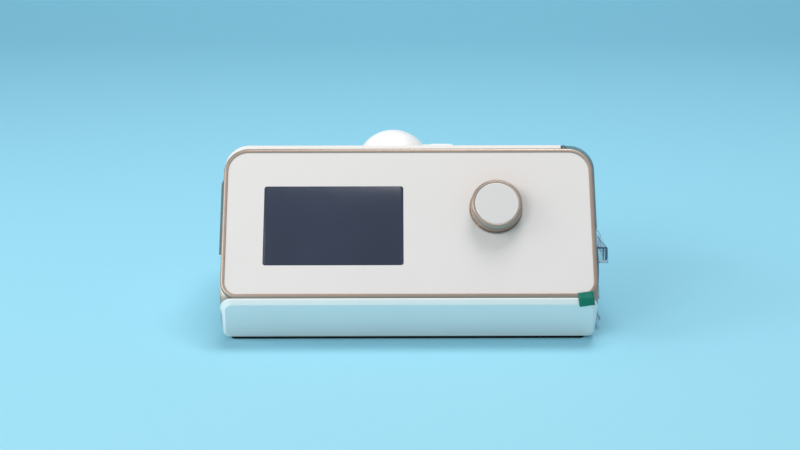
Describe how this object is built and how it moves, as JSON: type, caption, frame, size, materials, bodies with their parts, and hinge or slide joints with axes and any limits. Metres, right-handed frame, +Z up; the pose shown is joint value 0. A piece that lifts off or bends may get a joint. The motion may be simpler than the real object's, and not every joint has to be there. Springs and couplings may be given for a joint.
{
  "type": "cpap machine",
  "caption": "Bedside airway-pressure machine with a leaning display panel, a turning push knob, a side-loading humidifier tank with flip lid and latch, and a swivelling air outlet.",
  "frame": {"origin": "on the standing surface, under the middle of the whole machine's box", "axes": "+X to the right seen from the display side, -Y towards the user, +Z up"},
  "size_m": [0.2738, 0.1687, 0.1278],
  "materials": {
    "white_casing": "satin moulded white plastic",
    "white_fascia": "satin moulded white plastic",
    "white_inner": "plain moulded plastic",
    "white_elbow": "smooth moulded plastic",
    "champagne_trim": "satin pale gold coating",
    "pale_panel": "fine satin pale grey paint",
    "dark_glass": "dark coated display glass",
    "display_metal": "thin stamped frame",
    "circuit_board": "green solder mask",
    "black_foam": "soft closed-cell foam",
    "plated_steel": "zinc-plated steel",
    "knob_satin": "satin silver-white plastic",
    "green_tape": "thin green polyester tape",
    "grey_silicone": "soft silicone",
    "brushed_plate": "brushed plate",
    "clear_tank": "clear polycarbonate",
    "smoked_lid": "smoked translucent polycarbonate",
    "clear_latch": "clear polycarbonate",
    "black_plastic": "black moulded plastic",
    "impeller_plastic": "light moulded plastic",
    "filter_fleece": "pleated white fleece",
    "dark_grille": "dark grey textured plastic",
    "rubber_feet": "soft black rubber"
  },
  "bodies": {
    "main_unit": {"bay_seals": "grey_silicone", "bezel_ring": "champagne_trim", "blower_cover": "black_plastic", "blower_housing": "black_plastic", "blower_motor": "plated_steel", "blower_mounts": "grey_silicone", "casing_screws": "plated_steel", "display_board": "circuit_board", "display_module": "display_metal", "encoder": "plated_steel", "filter_tray": "white_inner", "front_fascia": "white_fascia", "front_panel": "pale_panel", "heater_plate": "brushed_plate", "inlet_filter": "filter_fleece", "intake_duct": "white_inner", "knob_base_ring": "champagne_trim", "lower_shell": "white_casing", "main_board": "circuit_board", "module_pads": "black_foam", "outlet_collar": "white_inner", "outlet_duct": "white_inner", "power_jack": "black_plastic", "pull_tab": "green_tape", "rear_cheek": "white_casing", "rubber_feet": "rubber_feet", "screen_lens": "dark_glass", "tank_bay": "white_inner", "upper_shell": "white_casing"},
    "encoder_rotor": {"encoder_sleeve": "plated_steel"},
    "knob": {"knob_shaft": "plated_steel", "knob_body": "knob_satin", "knob_skirt_ring": "champagne_trim", "knob_front_ring": "champagne_trim", "knob_cap": "knob_satin"},
    "tank": {"tank_body": "clear_tank", "tank_well_plate": "brushed_plate", "neck_seal": "grey_silicone"},
    "lid": {"tank_lid": "smoked_lid", "lid_hinge_pin": "plated_steel", "latch_pin": "plated_steel"},
    "latch": {"tank_latch": "clear_latch"},
    "outlet": {"outlet_elbow": "white_elbow"},
    "air_filter_cover": {"filter_cover": "dark_grille"},
    "blower_wheel": {"impeller": "impeller_plastic"}
  },
  "joints": [
    {"name": "knob_turn", "type": "hinge", "parent": "main_unit", "child": "encoder_rotor", "pos_m": [0.0559, -0.04804, 0.08981], "axis": [0, -0.829, 0.5592], "continuous": true},
    {"name": "knob_press", "type": "slide", "parent": "encoder_rotor", "child": "knob", "axis": [0, 0.829, -0.5592], "range_m": [0, 0.0008], "stiffness_N_per_m": 2500, "springref_m": -0.0002},
    {"name": "tank_slide", "type": "slide", "parent": "main_unit", "child": "tank", "axis": [1, 0, 0], "range_m": [0, 0.112]},
    {"name": "lid_hinge", "type": "hinge", "parent": "tank", "child": "lid", "pos_m": [0.1064, 0.01567, 0.11849], "axis": [0, -0.9751, 0.2215], "range_deg": [0, 95]},
    {"name": "latch_hinge", "type": "hinge", "parent": "lid", "child": "latch", "pos_m": [0.1257, -0.023, 0.07695], "axis": [0, -1, 0], "range_deg": [0, 70]},
    {"name": "outlet_swivel", "type": "hinge", "parent": "main_unit", "child": "outlet", "pos_m": [-0.0156, 0.052, 0.095], "axis": [0, 0, 1], "range_deg": [0, 180]},
    {"name": "filter_cover_hinge", "type": "hinge", "parent": "main_unit", "child": "air_filter_cover", "pos_m": [-0.1359, -0.02, 0.058], "axis": [0, -1, 0], "range_deg": [0, 85]},
    {"name": "blower_spin", "type": "hinge", "parent": "main_unit", "child": "blower_wheel", "pos_m": [-0.0658, 0.006, 0.03], "axis": [0, 0, 1], "continuous": true}
  ]
}
